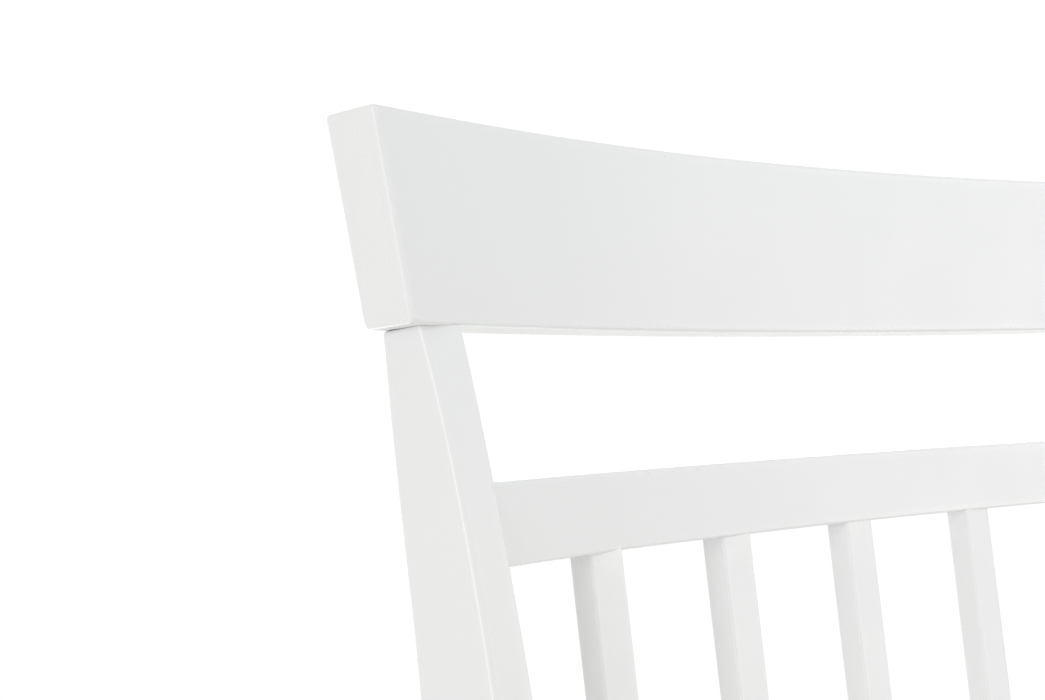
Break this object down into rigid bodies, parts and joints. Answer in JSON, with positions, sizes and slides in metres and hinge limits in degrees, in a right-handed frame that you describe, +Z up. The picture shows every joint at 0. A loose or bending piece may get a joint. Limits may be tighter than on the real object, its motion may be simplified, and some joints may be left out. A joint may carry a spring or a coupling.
{
  "type": "rocking chair",
  "caption": "White painted wooden rocking chair with a curved crest rail, spindle back, plank seat, flat arms and curved rockers.",
  "frame": {"origin": "centre of the chair's footprint box, on the floor", "axes": "+Z up, the chair faces -Y, +X to the right of a viewer who stands in front of it"},
  "size_m": [0.5952, 0.8299, 1.0415],
  "materials": {
    "painted_wood": "white satin paint on smooth sanded hardwood",
    "bare_wood": "bare planed hardwood",
    "steel": "zinc plated",
    "cap_plastic": "white moulded cap"
  },
  "bodies": {
    "root": {"crest_rail": "painted_wood", "back_post_left": "painted_wood", "back_post_right": "painted_wood", "mid_rail": "painted_wood", "lower_back_rail": "painted_wood", "spindle_1": "painted_wood", "spindle_2": "painted_wood", "spindle_3": "painted_wood", "spindle_4": "painted_wood", "spindle_5": "painted_wood", "seat": "painted_wood", "seat_rail_front": "painted_wood", "seat_rail_back": "painted_wood", "seat_rail_left": "painted_wood", "seat_rail_right": "painted_wood", "front_leg_left": "painted_wood", "front_leg_right": "painted_wood", "arm_left": "painted_wood", "arm_right": "painted_wood", "side_stretcher_left": "painted_wood", "side_stretcher_right": "painted_wood", "front_stretcher": "painted_wood", "rear_stretcher": "painted_wood", "rocker_left": "painted_wood", "rocker_right": "painted_wood", "corner_block_front_left": "bare_wood", "corner_block_front_right": "bare_wood", "corner_block_back_left": "bare_wood", "corner_block_back_right": "bare_wood", "crest_dowels": "bare_wood", "seat_screws": "steel", "block_screws": "steel", "rocker_bolts": "steel", "rocker_barrel_nuts": "steel", "arm_bolts": "steel", "arm_barrel_nuts": "steel", "bolt_caps": "cap_plastic"}
  },
  "joints": []
}
